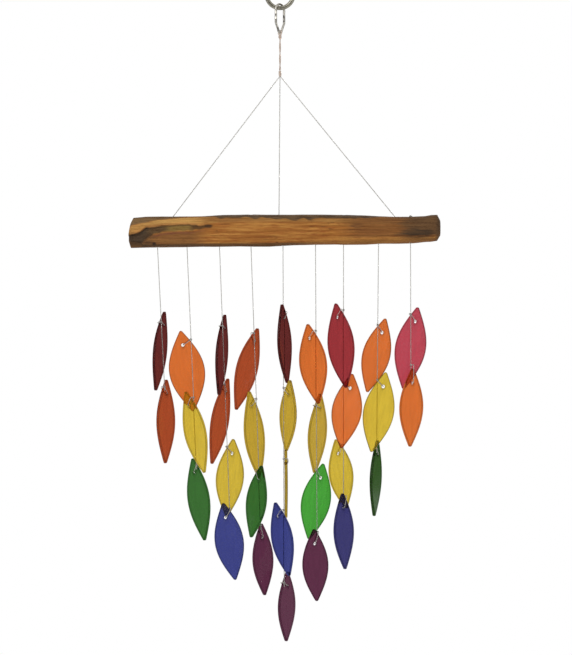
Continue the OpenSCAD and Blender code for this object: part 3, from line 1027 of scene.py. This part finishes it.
def seen_rays(tree):
    """1 for camera, glossy and transmission rays."""
    path = tree.nodes.new("ShaderNodeLightPath")
    first = tree.nodes.new("ShaderNodeMath")
    first.operation = "MAXIMUM"
    tree.links.new(path.outputs["Is Camera Ray"], first.inputs[0])
    tree.links.new(path.outputs["Is Glossy Ray"], first.inputs[1])
    second = tree.nodes.new("ShaderNodeMath")
    second.operation = "MAXIMUM"
    tree.links.new(first.outputs[0], second.inputs[0])
    tree.links.new(path.outputs["Is Transmission Ray"], second.inputs[1])
    return second.outputs[0]


def floor_material():
    """Pale matt floor that turns to the white of the background away from the object."""
    material, tree, shader = new_material("pale_floor")
    speckle = noise_value(tree, coordinates(tree, (30, 30, 30)), 3)
    pale = ramp(tree, speckle, [(0.3, (0.86, 0.86, 0.85)), (0.7, (0.92, 0.92, 0.91))])
    tree.links.new(pale, shader.inputs["Base Color"])
    shader.inputs["Roughness"].default_value = 0.9
    white = tree.nodes.new("ShaderNodeEmission")
    white.inputs["Strength"].default_value = 1.0
    source = tree.nodes.new("ShaderNodeTexCoord")
    away = tree.nodes.new("ShaderNodeVectorMath")
    away.operation = "LENGTH"
    tree.links.new(source.outputs["Object"], away.inputs[0])
    fade = tree.nodes.new("ShaderNodeMapRange")
    fade.interpolation_type = "SMOOTHSTEP"
    fade.inputs["From Min"].default_value = FLOOR_NEAR
    fade.inputs["From Max"].default_value = FLOOR_FAR
    tree.links.new(away.outputs["Value"], fade.inputs["Value"])
    both = tree.nodes.new("ShaderNodeMath")
    both.operation = "MULTIPLY"
    tree.links.new(fade.outputs["Result"], both.inputs[0])
    tree.links.new(seen_rays(tree), both.inputs[1])
    mix = tree.nodes.new("ShaderNodeMixShader")
    tree.links.new(both.outputs[0], mix.inputs[0])
    tree.links.new(shader.outputs[0], mix.inputs[1])
    tree.links.new(white.outputs[0], mix.inputs[2])
    tree.links.new(mix.outputs[0], tree.nodes["Material Output"].inputs["Surface"])
    return material


stage_plane("floor", FLOOR_SIZE, (0, 0, FLOOR_LEVEL), (0, 0, 1), floor_material())

CARD_RADIUS = 3.2
CARD_LOW = -1.5
CARD_HIGH = 0.9
CARD_STEP = 2
# first and last bearing of each dark card, in degrees from straight behind the object
CARD_BEARINGS = [(14, 78), (104, 128), (152, 208), (232, 256), (282, 346)]
card_material, _, card_shader = new_material("dark_cards")
card_shader.inputs["Base Color"].default_value = (0.02, 0.02, 0.02, 1)
card_shader.inputs["Roughness"].default_value = 0.9
card_points = []
card_faces = []
for first, last in CARD_BEARINGS:
    for bearing in range(first, last, CARD_STEP):
        start = len(card_points)
        for angle in (bearing, bearing + CARD_STEP):
            turn = math.radians(angle)
            for height in (CARD_LOW, CARD_HIGH):
                card_points.append((CARD_RADIUS * math.sin(turn), CARD_RADIUS * math.cos(turn), height))
        card_faces.append((start, start + 1, start + 3, start + 2))
card_mesh = bpy.data.meshes.new("dark_cards")
card_mesh.from_pydata(card_points, [], card_faces)
card_mesh.materials.append(card_material)
cards = bpy.data.objects.new("dark_cards", card_mesh)
scene.collection.objects.link(cards)
cards.visible_camera = False
cards.visible_diffuse = False
cards.visible_transmission = False
cards.visible_shadow = False

world = bpy.data.worlds.new("studio")
scene.world = world
world.use_nodes = True
world_tree = world.node_tree
soft = world_tree.nodes["Background"]
soft.inputs["Color"].default_value = (1, 1, 1, 1)
soft.inputs["Strength"].default_value = SOFT_LEVEL
plain = world_tree.nodes.new("ShaderNodeBackground")
plain.inputs["Color"].default_value = (1, 1, 1, 1)
plain.inputs["Strength"].default_value = 1.0
world_mix = world_tree.nodes.new("ShaderNodeMixShader")
world_tree.links.new(seen_rays(world_tree), world_mix.inputs[0])
world_tree.links.new(soft.outputs[0], world_mix.inputs[1])
world_tree.links.new(plain.outputs[0], world_mix.inputs[2])
world_tree.links.new(world_mix.outputs[0], world_tree.nodes["World Output"].inputs["Surface"])


def soft_light(name, place, target, size, watts):
    lamp = bpy.data.lights.new(name, "AREA")
    lamp.size = size
    lamp.energy = watts
    lamp_object = bpy.data.objects.new(name, lamp)
    scene.collection.objects.link(lamp_object)
    lamp_object.location = place
    lamp_object.rotation_euler = (Vector(target) - Vector(place)).to_track_quat("-Z", "Y").to_euler()


soft_light("key", (-1.3, -1.9, 0.7), (0, 0, -0.3), 1.4, 22)
soft_light("fill", (1.7, -1.7, 0.1), (0, 0, -0.35), 1.6, 10)
soft_light("rim", (0.4, 1.8, 0.9), (0, 0, -0.3), 1.4, 10)

VIEW_HEIGHT = 0.655
VIEW_DISTANCE = 2.5
VIEW_RIGHT = 0.006
VIEW_LEVEL = -0.3327
camera = bpy.data.cameras.new("camera")
camera.sensor_fit = "VERTICAL"
camera.sensor_height = 24
camera.lens = camera.sensor_height * VIEW_DISTANCE / VIEW_HEIGHT
camera_object = bpy.data.objects.new("camera", camera)
scene.collection.objects.link(camera_object)
camera_object.location = (VIEW_RIGHT, -VIEW_DISTANCE, VIEW_LEVEL)
camera_object.rotation_euler = (math.pi / 2, 0, 0)
scene.camera = camera_object
scene.view_settings.view_transform = "Standard"
